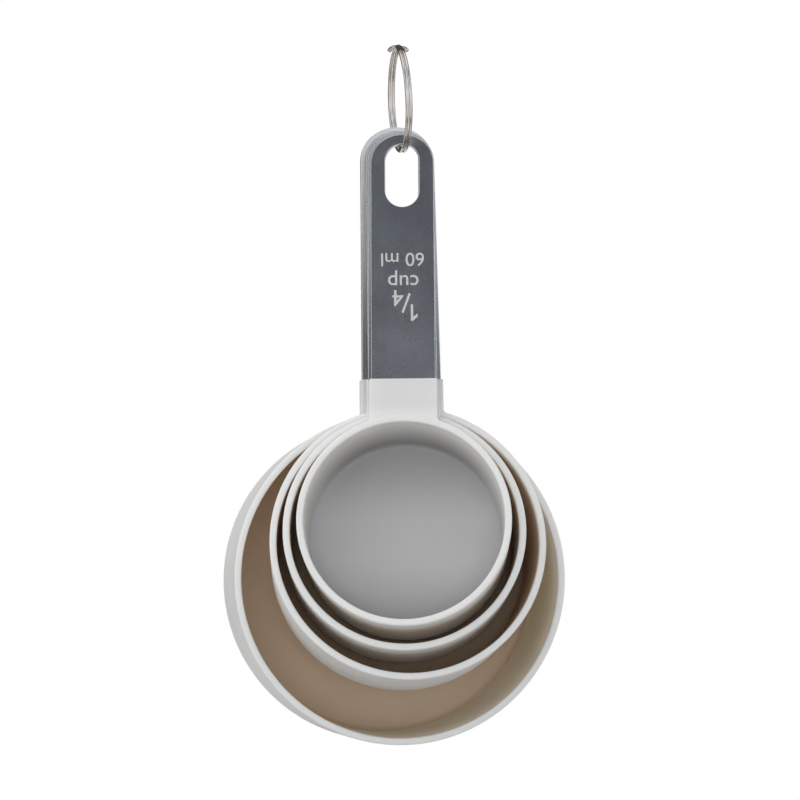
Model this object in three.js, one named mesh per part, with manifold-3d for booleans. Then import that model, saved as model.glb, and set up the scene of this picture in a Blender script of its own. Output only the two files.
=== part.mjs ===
// Measuring cup set: four nesting cups (1, 1/2, 1/3 and 1/4 cup) hanging on a split ring.
// Millimetres, +Z up, mouths of the cups towards -Y, +X to the right.
// Origin: the inside of the ring at its top, where a hook carries the set.
import * as THREE from 'three';
import { mergeVertices } from 'three/addons/utils/BufferGeometryUtils.js';
import Module from 'manifold-3d';

const wasm = await Module();
wasm.setup();

// ---- driving dimensions ----
const DEG = Math.PI / 180;
const SEG = 56; // sides of a bowl

const RING_OUTER_D = 30; // split ring, outside
const WIRE_D = 0.9; // ring wire
const TURN_PITCH = 1.05; // distance between the two turns, along the ring's axis
const RING_YAW = 10.5; // the ring's axis, turned from +X about +Z
const RING_LEAN = 2.5; // the ring leans a little to the left on its hook
const END_LEFT = 2.5; // how far out along the axis the two wire ends reach
const END_RIGHT = 2.6;
const END_BEND = 10; // degrees of the turn over which each end curls out
const END_DROP = 1.4; // how far the tips of the ends curl down

const WALL = 1.9; // bowl wall
const FLOOR = 1.9; // bowl floor
const LIP_R = 0.55; // rounding of the rim
const FILLET_OUT = 3.0; // base edge, outside
const FILLET_IN = 1.4; // floor edge, inside

const NECK_TOP = 0.3; // neck face below the rim plane
const NECK_T = 3.6; // neck thickness
const PLATE_T = 1.6; // steel plate
const PLATE_MID = NECK_TOP + NECK_T / 2; // middle of the plate, below the rim plane
const TANG_L = 7.0; // steel inside the neck
const GAP = 0.3; // play round the tang
const PEG_D = 3.0; // moulded peg through the hole in the tang
const TIP_TO_SLOT = 2.75; // steel left above the hanging slot

// rim: inside radius of the rim; depth: inside depth; taper: how much narrower the floor is;
// draft: how much narrower the outside is at the base;
// tip, foot: plate width at its tip and at the neck; neck, neckLength: neck width and its length
// from the bowl to the steel; steel: length from the neck to the tip; slot: [width, length];
// centre: centre of the rim plane; pitch, yaw, roll: how the cup hangs, in degrees
const CUPS = [
  { name: 'one_cup', rim: 44.4, depth: 40.3, taper: 1.7, draft: 0.93, tip: 20.4, foot: 20.4, neck: 21.4, neckLength: 9.0, steel: 70.5, slot: [12.3, 21.2],
    centre: [0.15, -0.4, -147.3], pitch: 2.9, yaw: -7.7, roll: 0.0 },
  { name: 'half_cup', rim: 36.1, depth: 31.2, taper: 1.7, draft: 1.8, tip: 19.0, foot: 20.2, neck: 21.2, neckLength: 7.9, steel: 70.9, slot: [11.0, 20.6],
    centre: [2.25, -21.3, -136.8], pitch: 12.0, yaw: -4.0, roll: 0.3 },
  { name: 'third_cup', rim: 31.4, depth: 27.0, taper: 1.1, draft: 1.18, tip: 18.2, foot: 19.0, neck: 20.0, neckLength: 8.7, steel: 70.9, slot: [10.2, 19.6],
    centre: [1.25, -25.8, -133.3], pitch: 12.8, yaw: -1.4, roll: 0.3 },
  { name: 'quarter_cup', rim: 27.5, depth: 25.9, taper: 0.8, draft: 0.86, tip: 17.4, foot: 17.7, neck: 18.7, neckLength: 10.3, steel: 69.8, slot: [9.4, 18.0],
    centre: [1.1, -30.4, -130.35], pitch: 13.6, yaw: 1.2, roll: 0.6 },
];

// ---- solids ----
function solid(geometry) {
  const g = geometry.index ? geometry.toNonIndexed() : geometry.clone();
  g.deleteAttribute('normal');
  g.deleteAttribute('uv');
  const m = mergeVertices(g, 1e-5);
  return new wasm.Manifold(new wasm.Mesh({
    numProp: 3,
    vertProperties: new Float32Array(m.attributes.position.array),
    triVerts: new Uint32Array(m.index.array),
  }));
}

function geometryOf(manifold) {
  const mesh = manifold.getMesh();
  const g = new THREE.BufferGeometry();
  g.setAttribute('position', new THREE.BufferAttribute(new Float32Array(mesh.vertProperties), 3));
  g.setIndex(new THREE.BufferAttribute(new Uint32Array(mesh.triVerts), 1));
  const flat = g.toNonIndexed();
  flat.computeVertexNormals();
  return flat;
}

// A flat outline in X (width) and Z (height), given depth along Y from y0 to y1.
function slab(shape, y0, y1, bevel = 0, curveSegments = 12) {
  const g = new THREE.ExtrudeGeometry(shape, {
    depth: y1 - y0 - 2 * bevel,
    bevelEnabled: bevel > 0,
    bevelThickness: bevel,
    bevelSize: bevel,
    bevelOffset: -bevel,
    bevelSegments: 1,
    curveSegments,
  });
  g.rotateX(Math.PI / 2); // shape Y becomes Z, depth runs towards -Y
  g.translate(0, y1 - bevel, 0);
  return g;
}

// ---- bowl and neck, one moulding ----
function bowl(cup) {
  const ri = cup.rim;
  const ro = ri + WALL;
  const rf = ri - cup.taper; // inside radius at the floor
  const rb = ro - cup.draft; // outside radius at the base
  const deep = cup.depth + FLOOR;
  const p = [];
  const arc = (cx, cy, r, from, to, n) => {
    for (let i = 0; i <= n; i++) {
      const a = (from + (to - from) * i / n) * DEG;
      p.push(new THREE.Vector2(cx + r * Math.cos(a), cy + r * Math.sin(a)));
    }
  };
  // depth grows along +Y; the profile runs from the middle of the base round to the middle of the floor
  p.push(new THREE.Vector2(0, deep));
  arc(rb - FILLET_OUT, deep - FILLET_OUT, FILLET_OUT, 90, 3, 4);
  arc(ro - LIP_R, LIP_R, LIP_R, 0, -90, 2);
  arc(ri + LIP_R, LIP_R, LIP_R, -90, -180, 2);
  arc(rf - FILLET_IN, cup.depth - FILLET_IN, FILLET_IN, 3, 90, 3);
  p.push(new THREE.Vector2(0, cup.depth));
  const lathe = new THREE.LatheGeometry(p.reverse(), SEG);
  let body = solid(lathe);
  if (body.volume() < 0) throw new Error('bowl profile is inside out');

  const w = cup.neck / 2;
  const top = ro + cup.neckLength;
  const rm = ri + WALL * 0.45; // the neck grows out of the middle of the wall
  const a = Math.asin((w + 1.2) / rm);
  const s = new THREE.Shape();
  s.moveTo(-w + 0.5, top);
  s.lineTo(-w, top - 0.5);
  s.lineTo(-w, Math.sqrt(ro * ro - w * w) + 1.4);
  s.lineTo(-w - 0.35, Math.sqrt(ro * ro - w * w) + 0.45);
  s.lineTo(-w - 1.2, Math.sqrt(ro * ro - (w + 1.2) ** 2) - 0.05);
  const n = 8;
  for (let i = 0; i <= n; i++) {
    const t = -a + 2 * a * i / n;
    s.lineTo(rm * Math.sin(t), rm * Math.cos(t));
  }
  s.lineTo(w + 1.2, Math.sqrt(ro * ro - (w + 1.2) ** 2) - 0.05);
  s.lineTo(w + 0.35, Math.sqrt(ro * ro - w * w) + 0.45);
  s.lineTo(w, Math.sqrt(ro * ro - w * w) + 1.4);
  s.lineTo(w, top - 0.5);
  s.lineTo(w - 0.5, top);
  s.closePath();
  let neck = solid(slab(s, NECK_TOP, NECK_TOP + NECK_T, 0.25));

  // pocket for the tang, open at the top, with a moulded peg across it
  const pw = cup.neck - 6.4 + 2 * GAP;
  const pocket = new THREE.BoxGeometry(pw, PLATE_T + 2 * GAP, TANG_L + 2 * GAP + 2);
  pocket.translate(0, PLATE_MID, top + 2 - (TANG_L + 2 * GAP + 2) / 2);
  const peg = new THREE.CylinderGeometry(PEG_D / 2, PEG_D / 2, NECK_T - 0.6, 16);
  peg.translate(0, PLATE_MID, top - TANG_L / 2);
  neck = neck.subtract(solid(pocket)).add(solid(peg));
  body = body.add(neck);
  return geometryOf(body);
}

// ---- steel handle: rounded tip, long hanging slot, tang with a hole for the peg ----
function handle(cup) {
  const ro = cup.rim + WALL;
  const bottom = ro + cup.neckLength + GAP;
  const top = ro + cup.neckLength + cup.steel;
  const wt = cup.tip / 2;
  const wf = cup.foot / 2;
  const rise = wt * 0.94; // height of the rounded tip
  const tw = (cup.neck - 6.4) / 2;
  const tangEnd = ro + cup.neckLength - TANG_L;
  const s = new THREE.Shape();
  s.moveTo(-wf, bottom);
  s.lineTo(-tw, bottom);
  s.lineTo(-tw, tangEnd + 0.8);
  s.lineTo(-tw + 0.8, tangEnd);
  s.lineTo(tw - 0.8, tangEnd);
  s.lineTo(tw, tangEnd + 0.8);
  s.lineTo(tw, bottom);
  s.lineTo(wf, bottom);
  s.lineTo(wt, top - rise);
  const n = 20;
  for (let i = 1; i < n; i++) {
    const t = Math.PI * i / n;
    s.lineTo(wt * Math.cos(t), top - rise + rise * Math.sin(t));
  }
  s.lineTo(-wt, top - rise);
  s.closePath();
  const slot = new THREE.Path();
  const sr = cup.slot[0] / 2;
  const s1 = top - TIP_TO_SLOT - sr;
  const s0 = top - TIP_TO_SLOT - cup.slot[1] + sr;
  const k = 10;
  for (let i = 0; i <= k; i++) {
    const t = Math.PI * i / k;
    slot[i ? 'lineTo' : 'moveTo'](sr * Math.cos(t), s1 + sr * Math.sin(t));
  }
  for (let i = 0; i <= k; i++) {
    const t = Math.PI + Math.PI * i / k;
    slot.lineTo(sr * Math.cos(t), s0 + sr * Math.sin(t));
  }
  slot.closePath();
  s.holes.push(slot);
  const hole = new THREE.Path();
  const hr = PEG_D / 2 + GAP;
  for (let i = 0; i < 16; i++) {
    const t = 2 * Math.PI * i / 16;
    hole[i ? 'lineTo' : 'moveTo'](hr * Math.cos(t), ro + cup.neckLength - TANG_L / 2 + hr * Math.sin(t));
  }
  hole.closePath();
  s.holes.push(hole);
  return geometryOf(solid(slab(s, PLATE_MID - PLATE_T / 2, PLATE_MID + PLATE_T / 2, 0.15)));
}

// ---- split ring: two turns of wire, both ends bent out along the axis at the top ----
function ring() {
  const R = (RING_OUTER_D - WIRE_D) / 2;
  const points = [];
  const N = 72;
  const half = 358; // degrees each way from the bottom of the middle crossing
  const turns = [-355.5, -353, -350.5, 350.5, 353, 355.5].map((a) => a / half); // closer points where the ends bend
  for (let i = 0; i <= N; i++) turns.push(-1 + 2 * i / N);
  for (const t of turns.sort((a, b) => a - b)) {
    const angle = t * half * DEG; // 0 is the top, where the two turns cross over
    let x = -t * TURN_PITCH;
    const toEnd = (1 - Math.abs(t)) * half; // degrees left to the wire end
    const bend = Math.max(0, 1 - toEnd / END_BEND);
    const curl = bend * Math.PI / 2;
    x -= Math.sign(t) * Math.sin(curl) * ((t > 0 ? END_LEFT : END_RIGHT) - TURN_PITCH);
    points.push(new THREE.Vector3(x, R * Math.sin(angle), R * Math.cos(angle) - END_DROP * (1 - Math.cos(curl))));
  }
  const path = new THREE.CatmullRomCurve3(points, false, 'centripetal');
  const section = new THREE.Shape();
  for (let i = 0; i < 8; i++) {
    const a = 2 * Math.PI * i / 8;
    section[i ? 'lineTo' : 'moveTo'](WIRE_D / 2 * Math.cos(a), WIRE_D / 2 * Math.sin(a));
  }
  section.closePath();
  return new THREE.ExtrudeGeometry(section, { steps: 150, bevelEnabled: false, extrudePath: path });
}

// ---- materials ----
const plastic = (colour) => new THREE.MeshStandardMaterial({ color: colour, roughness: 0.45, metalness: 0 });
const steel = () => new THREE.MeshStandardMaterial({ color: 0x8c9096, roughness: 0.32, metalness: 1 });
const chrome = () => new THREE.MeshStandardMaterial({ color: 0xd8d6d2, roughness: 0.15, metalness: 1 });
const named = (name, geometry, material) => {
  const mesh = new THREE.Mesh(geometry, material);
  mesh.name = name;
  return mesh;
};

// ---- assembly ----
const set = new THREE.Group();
const ringMesh = named('split_ring', ring(), chrome());
ringMesh.position.set(0, 0, -(RING_OUTER_D / 2 - WIRE_D));
ringMesh.rotation.set(0, -RING_LEAN * DEG, RING_YAW * DEG, 'ZYX');
set.add(ringMesh);
for (const cup of CUPS) {
  const group = new THREE.Group();
  group.add(named(`bowl_${cup.name}`, bowl(cup), plastic(0xdcdbd6)));
  group.add(named(`handle_${cup.name}`, handle(cup), steel()));
  group.position.set(...cup.centre);
  group.rotation.set(-cup.pitch * DEG, -cup.roll * DEG, -cup.yaw * DEG, 'ZXY');
  set.add(group);
}

export default set;
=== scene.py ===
import math

import bmesh
import bpy
import numpy as np
from mathutils import Matrix, Vector


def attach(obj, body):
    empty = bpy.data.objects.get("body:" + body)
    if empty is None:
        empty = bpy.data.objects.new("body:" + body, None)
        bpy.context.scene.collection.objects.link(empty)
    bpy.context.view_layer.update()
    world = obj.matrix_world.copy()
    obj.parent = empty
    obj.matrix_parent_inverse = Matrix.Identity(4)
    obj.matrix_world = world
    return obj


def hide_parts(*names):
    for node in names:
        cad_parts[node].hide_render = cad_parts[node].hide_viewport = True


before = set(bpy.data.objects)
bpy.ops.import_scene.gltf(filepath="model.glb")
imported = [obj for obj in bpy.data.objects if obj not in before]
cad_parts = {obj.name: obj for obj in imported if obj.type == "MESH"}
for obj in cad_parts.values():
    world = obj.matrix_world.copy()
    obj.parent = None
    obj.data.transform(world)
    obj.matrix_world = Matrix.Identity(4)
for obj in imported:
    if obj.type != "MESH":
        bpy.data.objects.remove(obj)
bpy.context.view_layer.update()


scene = bpy.context.scene
MM = 0.001

# ---------------------------------------------------------------- the set's sizes, in millimetres
RING_OUTER_D = 30.0
WIRE_D = 0.9
TURN_PITCH = 1.05
RING_YAW = 10.5
RING_LEAN = 2.5
END_LEFT = 2.5
END_RIGHT = 2.6
END_BEND = 10
END_DROP = 1.4
WALL = 1.9
FLOOR = 1.9
NECK_TOP = 0.3
NECK_T = 3.6
PLATE_T = 1.6
PLATE_MID = NECK_TOP + NECK_T / 2
TIP_TO_SLOT = 2.75
CUPS = [
    dict(name="one_cup", rim=44.4, depth=40.3, taper=1.7, draft=0.93, tip=20.4, foot=20.4, neck=21.4, neck_length=9.0, steel=70.5,
         slot=(12.3, 21.2), centre=(0.15, -0.4, -147.3), pitch=2.9, yaw=-7.7, roll=0.0, brown_painted_shade=1.0,
         marks=(None, "1", "cup", "240 ml")),
    dict(name="half_cup", rim=36.1, depth=31.2, taper=1.7, draft=1.8, tip=19.0, foot=20.2, neck=21.2, neck_length=7.9, steel=70.9,
         slot=(11.0, 20.6), centre=(2.25, -21.3, -136.8), pitch=12.0, yaw=-4.0, roll=0.3, brown_painted_shade=1.0,
         marks=("1", "2", "cup", "120 ml")),
    dict(name="third_cup", rim=31.4, depth=27.0, taper=1.1, draft=1.18, tip=18.2, foot=19.0, neck=20.0, neck_length=8.7, steel=70.9,
         slot=(10.2, 19.6), centre=(1.25, -25.8, -133.3), pitch=12.8, yaw=-1.4, roll=0.3, brown_painted_shade=1.0,
         marks=("1", "3", "cup", "80 ml")),
    dict(name="quarter_cup", rim=27.5, depth=25.9, taper=0.8, draft=0.86, tip=17.4, foot=17.7, neck=18.7, neck_length=10.3, steel=69.8,
         slot=(9.4, 18.0), centre=(1.1, -30.4, -130.35), pitch=13.6, yaw=1.2, roll=0.6, brown_painted_shade=0.0,
         marks=("1", "4", "cup", "60 ml")),
]


def place(cup):
    """Where a cup's own frame stands: rim centre at the origin, +Y into the bowl, +Z up the handle."""
    t = Matrix.Translation(Vector(cup["centre"]) * MM)
    z = Matrix.Rotation(math.radians(-cup["yaw"]), 4, "Z")
    x = Matrix.Rotation(math.radians(-cup["pitch"]), 4, "X")
    y = Matrix.Rotation(math.radians(-cup["roll"]), 4, "Y")
    return t @ z @ x @ y


# ---------------------------------------------------------------- camera
cam_data = bpy.data.cameras.new("camera")
cam = bpy.data.objects.new("camera", cam_data)
scene.collection.objects.link(cam)
cam.location = (0.0, -1.5, -0.09783)
cam.rotation_euler = (math.radians(90), 0, 0)
cam_data.sensor_width = 36
cam_data.lens = 36 * 1500 / (800 / 3.6)
cam_data.clip_start = 0.05
cam_data.clip_end = 20
scene.camera = cam


# ---------------------------------------------------------------- node helpers
def new_material(name):
    m = bpy.data.materials.new(name)
    m.use_nodes = True
    nt = m.node_tree
    nt.nodes.clear()
    out = nt.nodes.new("ShaderNodeOutputMaterial")
    bsdf = nt.nodes.new("ShaderNodeBsdfPrincipled")
    nt.links.new(bsdf.outputs["BSDF"], out.inputs["Surface"])
    return m, nt, bsdf


def math_node(nt, op, a, b=None, c=None, clamp=False):
    n = nt.nodes.new("ShaderNodeMath")
    n.operation = op
    n.use_clamp = clamp
    for i, v in enumerate((a, b, c)):
        if v is None:
            continue
        if isinstance(v, (int, float)):
            n.inputs[i].default_value = v
        else:
            nt.links.new(v, n.inputs[i])
    return n.outputs[0]


def ramp(nt, value, lo, hi, out_lo=0.0, out_hi=1.0, smooth=True):
    n = nt.nodes.new("ShaderNodeMapRange")
    n.interpolation_type = "SMOOTHSTEP" if smooth else "LINEAR"
    n.inputs["From Min"].default_value = lo
    n.inputs["From Max"].default_value = hi
    n.inputs["To Min"].default_value = out_lo
    n.inputs["To Max"].default_value = out_hi
    nt.links.new(value, n.inputs["Value"])
    return n.outputs["Result"]


def noise(nt, vector, scale, detail=3.0, rough=0.5, stretch=None):
    if stretch is not None:
        m = nt.nodes.new("ShaderNodeMapping")
        m.inputs["Scale"].default_value = stretch
        nt.links.new(vector, m.inputs["Vector"])
        vector = m.outputs["Vector"]
    n = nt.nodes.new("ShaderNodeTexNoise")
    n.inputs["Scale"].default_value = scale
    n.inputs["Detail"].default_value = detail
    n.inputs["Roughness"].default_value = rough
    nt.links.new(vector, n.inputs["Vector"])
    return n.outputs["Fac"]


def mix_colour(nt, fac, a, b, blend="MIX"):
    n = nt.nodes.new("ShaderNodeMix")
    n.data_type = "RGBA"
    n.blend_type = blend
    for socket, v in ((n.inputs[0], fac), (n.inputs[6], a), (n.inputs[7], b)):
        if isinstance(v, (int, float)):
            socket.default_value = v
        elif isinstance(v, tuple):
            socket.default_value = (*v, 1.0)
        else:
            nt.links.new(v, socket)
    return n.outputs[2]


def bump(nt, height, strength, distance, normal=None):
    n = nt.nodes.new("ShaderNodeBump")
    n.inputs["Strength"].default_value = strength
    n.inputs["Distance"].default_value = distance
    nt.links.new(height, n.inputs["Height"])
    if normal is not None:
        nt.links.new(normal, n.inputs["Normal"])
    return n.outputs["Normal"]


def object_coordinates(nt, cup=None):
    """Object coordinates; for a cup, turned back into the cup's own frame."""
    co = nt.nodes.new("ShaderNodeTexCoord").outputs["Object"]
    if cup is None:
        return co
    m = nt.nodes.new("ShaderNodeMapping")
    m.vector_type = "TEXTURE"
    t = place(cup)
    m.inputs["Location"].default_value = t.to_translation()
    m.inputs["Rotation"].default_value = t.to_euler("XYZ")
    nt.links.new(co, m.inputs["Vector"])
    return m.outputs["Vector"]


# ---------------------------------------------------------------- materials
WHITE = (0.82, 0.818, 0.805)
# painted shade and light: the colours after WHITE stand in for the shade and light inside the bowls; WHITE is the
# plastic's own colour
TAUPE_PAINTED_SHADE = (0.625, 0.54, 0.446)
TAUPE_WALL_PAINTED_LIGHT = (1.0, 0.87, 0.735)
TAUPE_DEEP_PAINTED_SHADE = (0.42, 0.32, 0.225)
TAUPE_DEEP_WALL_PAINTED_SHADE = (0.55, 0.44, 0.33)
LIP_PAINTED_SHADE = (0.84, 0.755, 0.685)
INNER_PAINTED_SHADE = (0.56, 0.562, 0.565)
INNER_WALL_PAINTED_SHADE = (0.58, 0.582, 0.565)
INNER_TOP_PAINTED_SHADE = (0.30, 0.302, 0.30)


def cup_plastic(cup):
    """Moulded off-white plastic: fine satin grain and faint flow marks, with painted shade inside the bowls (brownish
    in the three larger cups, grey in the quarter cup), on the neck and on the nested cups' outsides.
    """
    m, nt, bsdf = new_material("plastic_" + cup["name"])
    co = object_coordinates(nt, cup)
    sep = nt.nodes.new("ShaderNodeSeparateXYZ")
    nt.links.new(co, sep.inputs[0])
    x, y, z = sep.outputs
    radius = math_node(nt, "SQRT", math_node(nt, "ADD", math_node(nt, "MULTIPLY", x, x), math_node(nt, "MULTIPLY", z, z)))
    # the middle of the wall narrows with depth
    middle = math_node(nt, "MULTIPLY_ADD", y, -cup["taper"] / cup["depth"], (cup["rim"] + WALL * 0.42) * MM)
    inside_wall = ramp(nt, math_node(nt, "SUBTRACT", middle, radius), -0.0002, 0.0002)
    above_floor = ramp(nt, y, (cup["depth"] + 0.5) * MM, (cup["depth"] + 0.9) * MM, 1.0, 0.0)
    # painted shade: the lining is painted in from just below the lip downwards, darker where less light reaches into
    # the bowl
    painted_shade_below_lip = ramp(nt, y, (0.9 if cup["brown_painted_shade"] else 3.0) * MM, (3.8 if cup["brown_painted_shade"] else 24.0) * MM)
    inside = math_node(nt, "MULTIPLY", math_node(nt, "MULTIPLY", inside_wall, above_floor), painted_shade_below_lip)
    flow = noise(nt, co, 60, 3, 0.55)
    speck = noise(nt, co, 900, 2, 0.5)
    body = mix_colour(nt, ramp(nt, flow, 0.3, 0.7), tuple(c * 0.985 for c in WHITE), WHITE)
    # painted shade: the lining colours stand in for the shade inside the bowls, brownish in the three larger cups and
    # grey in the quarter cup
    if cup["name"] == "one_cup":
        painted_shade_liner, side = TAUPE_PAINTED_SHADE, TAUPE_WALL_PAINTED_LIGHT
    else:
        # painted shade: the half and third cups sit deeper in the nest and are painted a darker brown inside; the
        # quarter cup is painted grey
        painted_shade_liner, side = (TAUPE_DEEP_PAINTED_SHADE, TAUPE_DEEP_WALL_PAINTED_SHADE) if cup["brown_painted_shade"] else (INNER_PAINTED_SHADE, INNER_WALL_PAINTED_SHADE)
    # painted light: the moulded side thins towards the rim and lets more light through than the floor, so it is painted
    # lighter than the floor
    up_side = ramp(nt, y, (cup["depth"] - 4.0) * MM, (cup["depth"] + 0.1) * MM, 1.0, 0.0)
    # painted shade: in the quarter cup the top of the inner wall, which faces down, is painted darker
    if not cup["brown_painted_shade"]:
        side = mix_colour(nt, ramp(nt, z, 0.35 * cup["rim"] * MM, 0.95 * cup["rim"] * MM), side, INNER_TOP_PAINTED_SHADE)
    # painted shade: the quarter cup's lining is painted darker away from the middle, towards the top and bottom
    if not cup["brown_painted_shade"]:
        painted_floor_edge_shade = ramp(nt, math_node(nt, "ABSOLUTE", z), 0.15 * cup["rim"] * MM, 0.85 * cup["rim"] * MM)
        painted_shade_liner = mix_colour(nt, painted_floor_edge_shade, painted_shade_liner, tuple(c * 0.77 for c in INNER_PAINTED_SHADE))
    painted_shade_liner = mix_colour(nt, up_side, painted_shade_liner, side)
    painted_shade_lining = mix_colour(nt, ramp(nt, flow, 0.25, 0.75, 0.03, 0.0), painted_shade_liner, (0.5, 0.5, 0.5), "MULTIPLY")
    # painted shade: the neck is painted a little darker and cooler than the bowl
    neck_start = (cup["rim"] + WALL) * MM
    body = mix_colour(nt, ramp(nt, z, neck_start, neck_start + 0.003), body, (0.915, 0.92, 0.93), "MULTIPLY")
    # painted shade: the outside of the nested cups is painted a little browner part of the way down, where it sits in
    # the shade inside the next cup
    gap_shade_level = {"one_cup": 0.0, "half_cup": 0.12, "third_cup": 0.38, "quarter_cup": 0.32}[cup["name"]]
    painted_gap_shade = math_node(nt, "MULTIPLY", ramp(nt, y, 3.0 * MM, 11.0 * MM, 0.0, gap_shade_level), ramp(nt, y, 13.0 * MM, 23.0 * MM, 1.0, 0.0))
    body = mix_colour(nt, painted_gap_shade, body, (0.72, 0.60, 0.49))
    if cup["brown_painted_shade"]:
        # painted shade: a thin brownish line at the inner edge of the lip, where the painted inner shade meets the
        # white
        edge = math_node(nt, "MULTIPLY", math_node(nt, "MULTIPLY", inside_wall, above_floor), ramp(nt, y, 0.45 * MM, 1.0 * MM))
        body = mix_colour(nt, edge, body, LIP_PAINTED_SHADE)
    colour = mix_colour(nt, inside, body, painted_shade_lining)
    colour = mix_colour(nt, ramp(nt, speck, 0.62, 0.80, 0.0, 0.05), colour, (0.45, 0.42, 0.38))
    nt.links.new(colour, bsdf.inputs["Base Color"])
    smudge = noise(nt, co, 35, 4, 0.6)
    grain = noise(nt, co, 4200, 2, 0.6)
    rough = math_node(nt, "ADD", ramp(nt, smudge, 0.3, 0.75, 0.40, 0.52), ramp(nt, grain, 0.3, 0.7, -0.03, 0.03))
    nt.links.new(rough, bsdf.inputs["Roughness"])
    wave = noise(nt, co, 45, 2, 0.4)
    n1 = bump(nt, wave, 0.25, 0.00025)
    n2 = bump(nt, grain, 0.18, 0.00004, n1)
    nt.links.new(n2, bsdf.inputs["Normal"])
    bsdf.inputs["IOR"].default_value = 1.49
    bsdf.inputs["Specular IOR Level"].default_value = 0.28
    bsdf.subsurface_method = "RANDOM_WALK"
    bsdf.inputs["Subsurface Weight"].default_value = 0.5
    bsdf.inputs["Subsurface Radius"].default_value = (1.0, 0.8, 0.6)
    bsdf.inputs["Subsurface Scale"].default_value = 0.005
    return m


def steel(cup, edge=False):
    """Flat stainless plate with a fine satin finish: tiny speckled grain, smudges, bright worn edges."""
    m, nt, bsdf = new_material(("steel_edge_" if edge else "steel_face_") + cup["name"])
    co = object_coordinates(nt, cup)
    grain = noise(nt, co, 3000, 3, 0.65, (1.0, 1.0, 0.6))
    cloud = noise(nt, co, 70, 4, 0.6)
    # the front plate is picked out for its painted darker reflection
    front_plate_painted_dark = cup["name"] == "quarter_cup"
    if edge:
        base = mix_colour(nt, ramp(nt, grain, 0.35, 0.7), (0.66, 0.65, 0.63), (0.84, 0.83, 0.81))
        lo, hi = 0.24, 0.36
    else:
        # painted reflection: each plate is given its own pair of steel tones for the reflections it shows, and the
        # front plate is painted a darker, bluer steel than the ones behind it
        dark, pale = {
            "one_cup": ((0.78, 0.755, 0.72), (0.89, 0.865, 0.83)),
            "half_cup": ((0.73, 0.71, 0.68), (0.90, 0.88, 0.85)),
            "third_cup": ((0.74, 0.72, 0.69), (0.91, 0.89, 0.86)),
            "quarter_cup": ((0.40, 0.405, 0.415), (0.49, 0.495, 0.505)),
        }[cup["name"]]
        base = mix_colour(nt, ramp(nt, grain, 0.28, 0.74), dark, pale)
        base = mix_colour(nt, ramp(nt, cloud, 0.35, 0.75, 0.0, 0.14), base, (0.41, 0.42, 0.44))
        lo, hi = (0.29, 0.33) if front_plate_painted_dark else (0.40, 0.46)
        # painted reflection: towards the neck the colour is painted lighter on the front plate and darker on the plates
        # behind
        local = nt.nodes.new("ShaderNodeSeparateXYZ")
        nt.links.new(co, local.inputs[0])
        joint_z = (cup["rim"] + WALL + cup["neck_length"]) * MM
        painted_reflection_near_neck = ramp(nt, local.outputs[2], joint_z, joint_z + 0.045, 1.0, 0.0)
        base = mix_colour(nt, painted_reflection_near_neck, base, (1.20, 1.17, 1.14) if front_plate_painted_dark else (0.46, 0.46, 0.46), "MULTIPLY")
    nt.links.new(base, bsdf.inputs["Base Color"])
    rough = math_node(nt, "ADD", ramp(nt, cloud, 0.3, 0.75, lo, hi), ramp(nt, grain, 0.3, 0.7, -0.02, 0.03))
    nt.links.new(rough, bsdf.inputs["Roughness"])
    nt.links.new(bump(nt, grain, 0.03, 0.00002), bsdf.inputs["Normal"])
    bsdf.inputs["Metallic"].default_value = 1.0
    return m


def wire_nickel():
    m, nt, bsdf = new_material("ring_nickel")
    co = object_coordinates(nt)
    rub = noise(nt, co, 120, 3, 0.5)
    fine = noise(nt, co, 2500, 3, 0.6)
    base = mix_colour(nt, ramp(nt, rub, 0.35, 0.7), (0.60, 0.56, 0.52), (0.69, 0.65, 0.605))
    base = mix_colour(nt, ramp(nt, fine, 0.64, 0.74, 0.0, 0.12), base, (0.36, 0.33, 0.30))
    nt.links.new(base, bsdf.inputs["Base Color"])
    nt.links.new(math_node(nt, "ADD", ramp(nt, rub, 0.3, 0.75, 0.07, 0.11), ramp(nt, fine, 0.3, 0.7, -0.01, 0.01)), bsdf.inputs["Roughness"])
    nt.links.new(bump(nt, fine, 0.02, 0.00002), bsdf.inputs["Normal"])
    bsdf.inputs["Metallic"].default_value = 1.0
    return m


def etched_mark():
    m, nt, bsdf = new_material("etched_mark")
    co = object_coordinates(nt)
    frost = noise(nt, co, 3800, 3, 0.65)
    patch = noise(nt, co, 420, 3, 0.6)
    base = mix_colour(nt, ramp(nt, frost, 0.3, 0.7), (0.55, 0.55, 0.53), (0.68, 0.68, 0.66))
    base = mix_colour(nt, ramp(nt, patch, 0.4, 0.75, 0.0, 0.2), base, (0.48, 0.48, 0.47))
    nt.links.new(base, bsdf.inputs["Base Color"])
    nt.links.new(ramp(nt, frost, 0.25, 0.75, 0.62, 0.85), bsdf.inputs["Roughness"])
    nt.links.new(bump(nt, frost, 0.3, 0.00003), bsdf.inputs["Normal"])
    bsdf.inputs["Metallic"].default_value = 0.15
    return m


NICKEL = wire_nickel()
MARK = etched_mark()


# ---------------------------------------------------------------- mesh helpers
def link(name, mesh):
    o = bpy.data.objects.new(name, mesh)
    scene.collection.objects.link(o)
    return o


def evaluated(o, name):
    bpy.context.view_layer.update()
    dg = bpy.context.evaluated_depsgraph_get()
    return bpy.data.meshes.new_from_object(o.evaluated_get(dg), depsgraph=dg).copy()


def drop(o):
    data = o.data
    bpy.data.objects.remove(o)
    if isinstance(data, bpy.types.Mesh):
        bpy.data.meshes.remove(data)
    elif isinstance(data, bpy.types.Curve):
        bpy.data.curves.remove(data)


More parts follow.
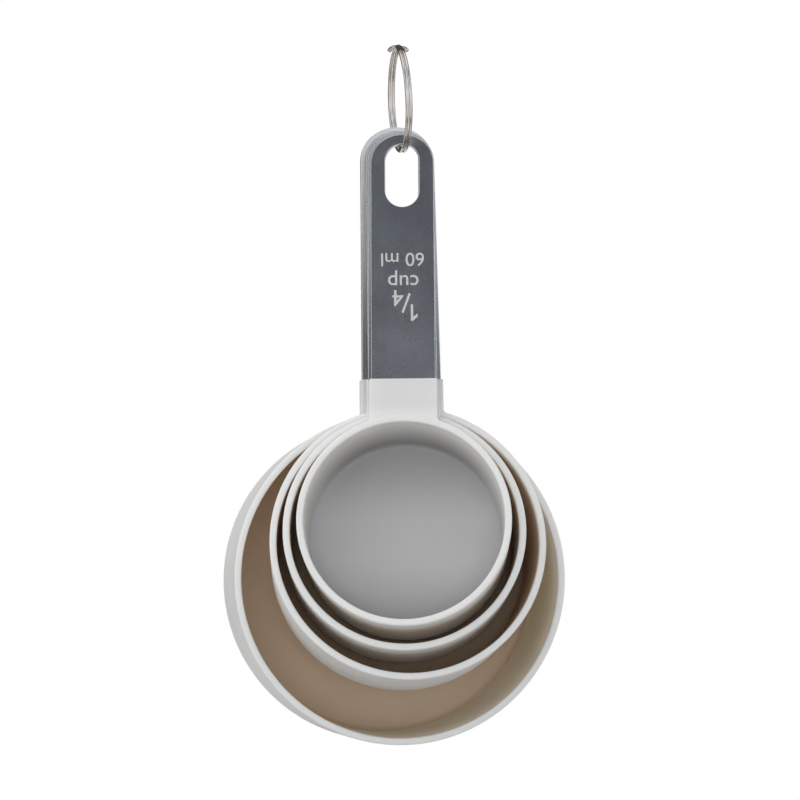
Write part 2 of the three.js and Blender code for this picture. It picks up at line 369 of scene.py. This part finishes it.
def finish_mesh(o, angle=32.0, weighted=True):
    """Smooth shading with real edges kept, and flat faces that stay flat."""
    for p in o.data.polygons:
        p.use_smooth = True
    o.data.set_sharp_from_angle(angle=math.radians(angle))
    if weighted:
        w = o.modifiers.new("weighted", "WEIGHTED_NORMAL")
        w.keep_sharp = True
        w.weight = 90
        mesh = evaluated(o, o.name)
        o.modifiers.clear()
        old = o.data
        o.data = mesh
        bpy.data.meshes.remove(old)


def slab(outline, holes, y0, y1, bevel, name):
    """A flat outline in X and Z between two depths along Y, its edges rounded. Points are in millimetres."""
    c = bpy.data.curves.new(name, "CURVE")
    c.dimensions = "2D"
    c.fill_mode = "BOTH"
    for ring in [outline] + list(holes):
        s = c.splines.new("POLY")
        s.points.add(len(ring) - 1)
        for i, (a, b) in enumerate(ring):
            s.points[i].co = (a * MM, b * MM, 0, 1)
        s.use_cyclic_u = True
    c.extrude = ((y1 - y0) / 2 - bevel) * MM
    c.bevel_depth = bevel * MM
    c.bevel_resolution = 2
    c.offset = -bevel * MM
    o = link(name, c)
    mesh = evaluated(o, name)
    drop(o)
    bm = bmesh.new()
    bm.from_mesh(mesh)
    bpy.data.meshes.remove(mesh)
    bmesh.ops.remove_doubles(bm, verts=bm.verts, dist=2e-6)
    # curve plane XY becomes XZ, its normal Z points to -Y
    for v in bm.verts:
        px, py, pz = v.co
        v.co = (px, (y0 + y1) / 2 * MM - pz, py)
    bmesh.ops.recalc_face_normals(bm, faces=bm.faces)
    out = bpy.data.meshes.new(name)
    bm.to_mesh(out)
    bm.free()
    return out


def lathe(profile, segments, name):
    """Turns (radius, depth) points about +Y; the first and last point are on the axis."""
    bm = bmesh.new()
    rings = []
    for r, d in profile:
        if r < 1e-9:
            rings.append([bm.verts.new((0, d * MM, 0))])
        else:
            rings.append([
                bm.verts.new((r * MM * math.cos(2 * math.pi * i / segments), d * MM, r * MM * math.sin(2 * math.pi * i / segments)))
                for i in range(segments)
            ])
    for a, b in zip(rings, rings[1:]):
        for i in range(segments):
            j = (i + 1) % segments
            if len(a) == 1:
                bm.faces.new((a[0], b[i], b[j]))
            elif len(b) == 1:
                bm.faces.new((a[i], b[0], a[j]))
            else:
                bm.faces.new((a[i], b[i], b[j], a[j]))
    bmesh.ops.recalc_face_normals(bm, faces=bm.faces)
    mesh = bpy.data.meshes.new(name)
    bm.to_mesh(mesh)
    bm.free()
    return mesh


def arc(cx, cy, r, a0, a1, n):
    return [(cx + r * math.cos(math.radians(a0 + (a1 - a0) * i / n)), cy + r * math.sin(math.radians(a0 + (a1 - a0) * i / n))) for i in range(n + 1)]


# ---------------------------------------------------------------- bowls
LIP_R, FILLET_OUT, FILLET_IN = 0.55, 3.0, 1.4


def bowl_profile(cup):
    ri, depth = cup["rim"], cup["depth"]
    ro, deep = ri + WALL, depth + FLOOR
    rf = ri - cup["taper"]
    rb = ro - cup["draft"]
    p = [(0, deep), (rb * 0.5, deep), (rb - FILLET_OUT - 0.5, deep)]
    p += arc(rb - FILLET_OUT, deep - FILLET_OUT, FILLET_OUT, 90, 3, 10)
    x0, y0 = p[-1]
    for t in (0.03, 0.2, 0.4, 0.6, 0.8, 0.97):
        p.append((x0 + (ro - x0) * t, y0 + (LIP_R - y0) * t))
    p += arc(ro - LIP_R, LIP_R, LIP_R, 0, -90, 6)
    p += arc(ri + LIP_R, LIP_R, LIP_R, -90, -180, 6)
    fil = arc(rf - FILLET_IN, depth - FILLET_IN, FILLET_IN, 3, 90, 8)
    x1, y1 = fil[0]
    for t in (0.03, 0.2, 0.4, 0.6, 0.8, 0.97):
        p.append((ri + (x1 - ri) * t, LIP_R + (y1 - LIP_R) * t))
    p += fil
    p += [(rf - FILLET_IN - 0.5, depth), (rf * 0.5, depth), (0, depth)]
    return p


def neck_outline(cup):
    ri = cup["rim"]
    ro = ri + WALL
    w = cup["neck"] / 2
    top = ro + cup["neck_length"]
    rm = ri + WALL * 0.45
    c = 0.5
    right = []
    # top corner, rounded
    right += [(w - c + c * math.sin(math.radians(a)), top - c + c * math.cos(math.radians(a))) for a in range(0, 91, 15)]
    # hollow corner where the neck meets the bowl
    f = 1.3
    # centre of the hollow corner: f outside the neck's side and f outside the bowl
    cx = w + f
    cz = math.sqrt((ro + f) ** 2 - cx ** 2)
    a1 = math.degrees(math.atan2(cx, cz))
    end = 180 + a1
    for i in range(9):
        a = math.radians(270 + (end - 270) * i / 8)
        right.append((cx + f * math.sin(a), cz + f * math.cos(a)))
    right.append((right[-1][0] + 0.05, math.sqrt(max(0, (ro - 0.25) ** 2 - (right[-1][0] + 0.05) ** 2))))
    a = math.asin(right[-1][0] / rm)
    low = [(rm * math.sin(a - 2 * a * i / 24), rm * math.cos(a - 2 * a * i / 24)) for i in range(25)]
    left = [(-x, z) for x, z in reversed(right)]
    pts = right + low + left
    out = [pts[0]]
    for q in pts[1:]:
        if math.dist(q, out[-1]) > 0.02:
            out.append(q)
    return out


def make_bowl(cup):
    name = "cup_" + cup["name"]
    o = link(name, lathe(bowl_profile(cup), 224, name))
    n = link("neck_tool", slab(neck_outline(cup), [], NECK_TOP, NECK_TOP + NECK_T, 0.35, "neck_tool"))
    b = o.modifiers.new("join", "BOOLEAN")
    b.operation = "UNION"
    b.solver = "EXACT"
    b.object = n
    mesh = evaluated(o, name)
    o.modifiers.clear()
    old = o.data
    o.data = mesh
    bpy.data.meshes.remove(old)
    drop(n)
    bm = bmesh.new()
    bm.from_mesh(o.data)
    bmesh.ops.remove_doubles(bm, verts=bm.verts, dist=1e-6)
    bm.to_mesh(o.data)
    bm.free()
    o.data.materials.clear()
    o.data.materials.append(cup_plastic(cup))
    finish_mesh(o)
    o.data.transform(place(cup))
    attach(o, cup["name"])
    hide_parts("bowl_" + cup["name"])
    return o


# ---------------------------------------------------------------- handles
def handle_outline(cup):
    ro = cup["rim"] + WALL
    bottom = ro + cup["neck_length"] - 0.7  # the plate runs a little way into the neck
    top = ro + cup["neck_length"] + cup["steel"]
    wt, wf = cup["tip"] / 2, cup["foot"] / 2
    rise = wt * 0.94
    pts = [(wf, bottom), (wt, top - rise)]
    n = 72
    pts += [(wt * math.cos(math.pi * i / n), top - rise + rise * math.sin(math.pi * i / n)) for i in range(1, n)]
    pts += [(-wt, top - rise), (-wf, bottom)]
    sr = cup["slot"][0] / 2
    s1 = top - TIP_TO_SLOT - sr
    s0 = top - TIP_TO_SLOT - cup["slot"][1] + sr
    k = 36
    slot = [(sr * math.cos(math.pi * i / k), s1 + sr * math.sin(math.pi * i / k)) for i in range(k + 1)]
    slot += [(sr * math.cos(math.pi + math.pi * i / k), s0 + sr * math.sin(math.pi + math.pi * i / k)) for i in range(k + 1)]
    return pts, slot


def make_handle(cup):
    name = "plate_" + cup["name"]
    pts, slot = handle_outline(cup)
    mesh = slab(pts, [slot], PLATE_MID - PLATE_T / 2, PLATE_MID + PLATE_T / 2, 0.16, name)
    o = link(name, mesh)
    o.data.materials.append(steel(cup))
    o.data.materials.append(steel(cup, edge=True))
    # the flat faces become whole faces, so that their shading stays flat round the slot
    bm = bmesh.new()
    bm.from_mesh(o.data)
    flat = [e for e in bm.edges if len(e.link_faces) == 2 and all(abs(f.normal.y) > 0.999 for f in e.link_faces)]
    bmesh.ops.dissolve_limit(bm, angle_limit=0.01, verts=[], edges=flat)
    bm.to_mesh(o.data)
    bm.free()
    for p in o.data.polygons:
        p.material_index = 0 if abs(p.normal.y) > 0.995 else 1
    finish_mesh(o, 35)
    o.data.transform(place(cup))
    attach(o, cup["name"])
    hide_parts("handle_" + cup["name"])
    return o


def text_mesh(body, width=None, height=None):
    """A line of plain lettering as a thin solid, centred, scaled to a width or a height in millimetres."""
    c = bpy.data.curves.new("text", "FONT")
    c.body = body
    c.size = 0.01
    c.extrude = 0.00002
    c.resolution_u = 6
    c.offset = 0.00003
    o = link("text", c)
    mesh = evaluated(o, "text")
    drop(o)
    co = np.array([v.co for v in mesh.vertices])
    lo, hi = co.min(0), co.max(0)
    k = width * MM / (hi[0] - lo[0]) if width else height * MM / (hi[1] - lo[1])
    co[:, :2] = (co[:, :2] - (lo[:2] + hi[:2]) / 2) * k
    for v, q in zip(mesh.vertices, co):
        v.co = q
    return mesh


def bar(a, b, width):
    """One straight stroke of a numeral, in millimetres, as a thin solid."""
    a, b = Vector(a), Vector(b)
    n = (b - a).normalized().orthogonal() * width / 2
    mesh = bpy.data.meshes.new("bar")
    pts = [a + n, a - n, b - n, b + n]
    low = [(p.x * MM, p.y * MM, -0.00002) for p in pts]
    high = [(p.x * MM, p.y * MM, 0.00002) for p in pts]
    mesh.from_pydata(low + high, [], [(3, 2, 1, 0), (4, 5, 6, 7), (0, 1, 5, 4), (1, 2, 6, 5), (2, 3, 7, 6), (3, 0, 4, 7)])
    return mesh


def numeral_one(height):
    """A plain 1: a stem with a short flag, joined into one thin solid."""
    h, w = height / 2, 0.66
    outline = [(w / 2, -h), (w / 2, h), (-w / 2, h), (-1.55, h - 1.25), (-1.55, h - 2.05), (-w / 2, h - 1.15), (-w / 2, -h)]
    mesh = bpy.data.meshes.new("one")
    n = len(outline)
    low = [(x * MM, y * MM, -0.00002) for x, y in outline]
    high = [(x * MM, y * MM, 0.00002) for x, y in outline]
    mesh.from_pydata(low + high, [], [tuple(range(n))[::-1], tuple(range(n, 2 * n))] + [(i, (i + 1) % n, (i + 1) % n + n, i + n) for i in range(n)])
    return mesh


def make_marks(cup):
    """The measure, read with the bowl at the top, as numbers and units in plain lettering."""
    top = cup["rim"] + WALL + cup["neck_length"] + cup["steel"]
    one, two, unit, ml = cup["marks"]
    parts = [(text_mesh(ml, width=11.8 if len(ml) == 5 else 13.6), 0.0, 35.9), (text_mesh(unit, width=8.4), -0.15, 41.1)]
    if one:
        parts += [(numeral_one(4.7), -2.5, 51.0), (bar((-1.0, -2.75), (1.0, 2.75), 0.62), -0.9, 48.3), (text_mesh(two, height=4.6), 1.35, 46.9)]
    else:
        parts += [(numeral_one(6.4), 0.0, 49.0)]
    bm = bmesh.new()
    for mesh, dx, down in parts:
        # text X runs to -X and text Y to -Z of the cup's frame, so the lettering reads with the bowl on top
        mesh.transform(Matrix(((-1, 0, 0, -dx * MM), (0, 0, -1, (PLATE_MID - PLATE_T / 2) * MM), (0, -1, 0, (top - down) * MM), (0, 0, 0, 1))))
        bm.from_mesh(mesh)
        bpy.data.meshes.remove(mesh)
    bmesh.ops.remove_doubles(bm, verts=bm.verts, dist=1e-7)
    bmesh.ops.recalc_face_normals(bm, faces=bm.faces)
    name = "mark_" + cup["name"]
    mesh = bpy.data.meshes.new(name)
    bm.to_mesh(mesh)
    bm.free()
    o = link(name, mesh)
    o.data.materials.append(MARK)
    o.data.transform(place(cup))
    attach(o, cup["name"])
    return o


# ---------------------------------------------------------------- split ring
def make_ring():
    R = (RING_OUTER_D - WIRE_D) / 2
    half = 358.0
    n = 720
    path = []
    for i in range(n + 1):
        t = -1 + 2 * i / n
        a = math.radians(t * half)
        x = -t * TURN_PITCH
        bend = max(0.0, 1 - (1 - abs(t)) * half / END_BEND)
        curl = math.pi / 2 * bend
        x -= math.copysign(math.sin(curl) * ((END_LEFT if t > 0 else END_RIGHT) - TURN_PITCH), t)
        path.append((x, R * math.sin(a), R * math.cos(a) - END_DROP * (1 - math.cos(curl))))
    path = np.array(path)
    step = np.linalg.norm(np.diff(path, axis=0), axis=1)
    s = np.concatenate([[0], np.cumsum(step)])
    length = s[-1]
    # extra stations near both ends, where the wire is rounded off
    r = WIRE_D / 2
    ends = [r * (1 - math.cos(math.radians(a))) for a in (0, 18, 36, 54, 72, 90)]
    stations = sorted(set([*ends, *(length - e for e in ends), *np.linspace(r * 1.3, length - r * 1.3, 560)]))
    pos = np.array([[np.interp(q, s, path[:, k]) for k in range(3)] for q in stations])
    tan = np.gradient(pos, axis=0)
    tan /= np.linalg.norm(tan, axis=1)[:, None]
    sides = 20
    bm = bmesh.new()
    rings = []
    for q, p, t in zip(stations, pos, tan):
        e = min(q, length - q)
        swell = max(0.0, 1 - e / 3.2) ** 2
        full = r * (1 + 0.6 * swell)
        radius = math.sqrt(max(0.0, full * full - (full * max(0.0, 1 - e / r)) ** 2))
        if radius < 1e-6:
            rings.append([bm.verts.new(Vector(p) * MM)])
            continue
        u = np.cross(t, (1, 0, 0))
        u /= np.linalg.norm(u)
        w = np.cross(t, u)
        rings.append([bm.verts.new(Vector(p + radius * (math.cos(2 * math.pi * j / sides) * u + math.sin(2 * math.pi * j / sides) * w)) * MM) for j in range(sides)])
    for a, b in zip(rings, rings[1:]):
        for i in range(sides):
            j = (i + 1) % sides
            if len(a) == 1:
                bm.faces.new((a[0], b[i], b[j]))
            elif len(b) == 1:
                bm.faces.new((a[i], b[0], a[j]))
            else:
                bm.faces.new((a[i], b[i], b[j], a[j]))
    bmesh.ops.recalc_face_normals(bm, faces=bm.faces)
    mesh = bpy.data.meshes.new("hanging_ring")
    bm.to_mesh(mesh)
    bm.free()
    o = link("hanging_ring", mesh)
    o.data.materials.append(NICKEL)
    finish_mesh(o, 60, weighted=False)
    lean = Matrix.Rotation(math.radians(-RING_LEAN), 4, "Y")
    turn = Matrix.Rotation(math.radians(RING_YAW), 4, "Z")
    o.data.transform(Matrix.Translation((0, 0, -(RING_OUTER_D / 2 - WIRE_D) * MM)) @ turn @ lean)
    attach(o, "ring")
    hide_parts("split_ring")
    return o


for cup in CUPS:
    make_bowl(cup)
    make_handle(cup)
    make_marks(cup)
make_ring()

# ---------------------------------------------------------------- floor, light
scene.view_settings.view_transform = "Standard"
scene.view_settings.look = "None"
# soft light by direction: front upper left, front upper right, front lower left, front lower right, back upper, back lower
SOFT = (1.08, 0.50, 1.13, 0.85, 0.92, 0.60)
TOP_W, FRONT_W = 0.4, 4.8
MIRROR = 1.0
# directions left dark, as black cards in a studio: azimuth, elevation, inner and outer cone, level
DARK = [(0, 34, 14, 25, 0.0), (-82, 0, 10, 26, 0.10), (180, 0, 48, 76, 0.08), (-118, 0, 24, 42, 0.3), (118, 0, 24, 42, 0.3)]

world = bpy.data.worlds.new("studio")
scene.world = world
world.use_nodes = True
wt = world.node_tree
bg = wt.nodes["Background"]
bg.inputs["Strength"].default_value = 1.0
ray = wt.nodes.new("ShaderNodeTexCoord").outputs["Generated"]
wsep = wt.nodes.new("ShaderNodeSeparateXYZ")
wt.links.new(ray, wsep.inputs[0])


def world_patch(direction, inner, outer, level):
    """A factor that falls to a level inside a cone of directions, with a soft edge."""
    dot = wt.nodes.new("ShaderNodeVectorMath")
    dot.operation = "DOT_PRODUCT"
    dot.inputs[1].default_value = Vector(direction).normalized()
    wt.links.new(ray, dot.inputs[0])
    return ramp(wt, dot.outputs["Value"], math.cos(math.radians(outer)), math.cos(math.radians(inner)), 1.0, level)


def toward(azimuth, elevation):
    a, e = math.radians(azimuth), math.radians(elevation)
    return (math.sin(a) * math.cos(e), -math.cos(a) * math.cos(e), math.sin(e))


# reflections see the dark cards; the soft light on the plastic doesn't
up = ramp(wt, wsep.outputs[2], -0.35, 0.35)
down = math_node(wt, "SUBTRACT", 1.0, up)
front = ramp(wt, wsep.outputs[1], -0.35, 0.35, 1.0, 0.0)
back = math_node(wt, "SUBTRACT", 1.0, front)
left = ramp(wt, wsep.outputs[0], -0.5, 0.5, 1.0, 0.0)
right = math_node(wt, "SUBTRACT", 1.0, left)
soft = None
for amount, parts in zip(SOFT, ((front, up, left), (front, up, right), (front, down, left), (front, down, right), (back, up, up), (back, down, down))):
    term = math_node(wt, "MULTIPLY", parts[0], parts[1])
    if parts[1] is not parts[2]:
        term = math_node(wt, "MULTIPLY", term, parts[2])
    term = math_node(wt, "MULTIPLY", term, amount)
    soft = term if soft is None else math_node(wt, "ADD", soft, term)
light = ramp(wt, wsep.outputs[2], -0.45, 0.25, 0.85, 1.25)
# a dark band runs round above the lamps
light = math_node(wt, "MULTIPLY", light, math_node(wt, "MAXIMUM", ramp(wt, wsep.outputs[2], 0.60, 0.70, 1.0, 0.3), ramp(wt, wsep.outputs[2], 0.84, 0.92, 0.3, 1.0)))
for az, el, inner, outer, level in DARK:
    light = math_node(wt, "MULTIPLY", light, world_patch(toward(az, el), inner, outer, level))
path_kind = wt.nodes.new("ShaderNodeLightPath")
light = math_node(wt, "MULTIPLY", light, MIRROR)
cool = world_patch(toward(0, 38), 20, 70, 0.0)
light = mix_colour(wt, 1.0, light, mix_colour(wt, cool, (0.82, 0.92, 1.08), (1.02, 1.0, 0.97)), "MULTIPLY")
level = mix_colour(wt, path_kind.outputs["Is Glossy Ray"], soft, light)
wt.links.new(mix_colour(wt, path_kind.outputs["Is Camera Ray"], level, (1.0, 1.0, 1.0)), bg.inputs["Color"])


def stage_plane(name, size, location, rotation, colour, rough=0.8):
    bm = bmesh.new()
    bmesh.ops.create_grid(bm, x_segments=1, y_segments=1, size=0.5)
    for v in bm.verts:
        v.co.x *= size[0]
        v.co.y *= size[1]
    mesh = bpy.data.meshes.new(name)
    bm.to_mesh(mesh)
    bm.free()
    o = link(name, mesh)
    o.location = location
    o.rotation_euler = rotation
    m, nt, bsdf = new_material(name)
    # pale to the camera, with a dark band round the object in reflections, and dimmer to soft light
    kind = nt.nodes.new("ShaderNodeLightPath")
    place_on = nt.nodes.new("ShaderNodeSeparateXYZ")
    nt.links.new(nt.nodes.new("ShaderNodeNewGeometry").outputs["Position"], place_on.inputs[0])
    far = math_node(nt, "SQRT", math_node(nt, "ADD", math_node(nt, "POWER", math_node(nt, "ABSOLUTE", place_on.outputs[0]), 2.0), math_node(nt, "POWER", math_node(nt, "ABSOLUTE", place_on.outputs[1]), 2.0)))
    band = math_node(nt, "MULTIPLY", ramp(nt, far, 0.28, 0.36), ramp(nt, far, 0.46, 0.58, 1.0, 0.0))
    shade = mix_colour(nt, kind.outputs["Is Glossy Ray"], tuple(c * 0.5 for c in colour), mix_colour(nt, band, colour, tuple(c * 0.25 for c in colour)))
    nt.links.new(mix_colour(nt, kind.outputs["Is Camera Ray"], shade, colour), bsdf.inputs["Base Color"])
    bsdf.inputs["Roughness"].default_value = rough
    bsdf.inputs["Specular IOR Level"].default_value = 0.0
    o.data.materials.append(m)
    return o


stage_plane("floor", (3.0, 3.0), (0, 0.2, -0.46), (0, 0, 0), (0.92, 0.92, 0.92))

def area(name, location, target, size, power, colour=(1, 1, 1)):
    l = bpy.data.lights.new(name, "AREA")
    l.shape = "RECTANGLE"
    l.size, l.size_y = size
    l.energy = power
    l.color = colour
    o = bpy.data.objects.new(name, l)
    scene.collection.objects.link(o)
    o.location = location
    o.rotation_euler = (Vector(target) - Vector(location)).to_track_quat("-Z", "Y").to_euler()
    return o


area("top_soft", (-0.25, -0.35, 0.95), (0, 0, -0.12), (0.9, 0.5), TOP_W)
fill = area("front_soft", (0.05, -1.75, -0.16), (0, 0, -0.12), (0.7, 0.4), FRONT_W)
fill.visible_glossy = False
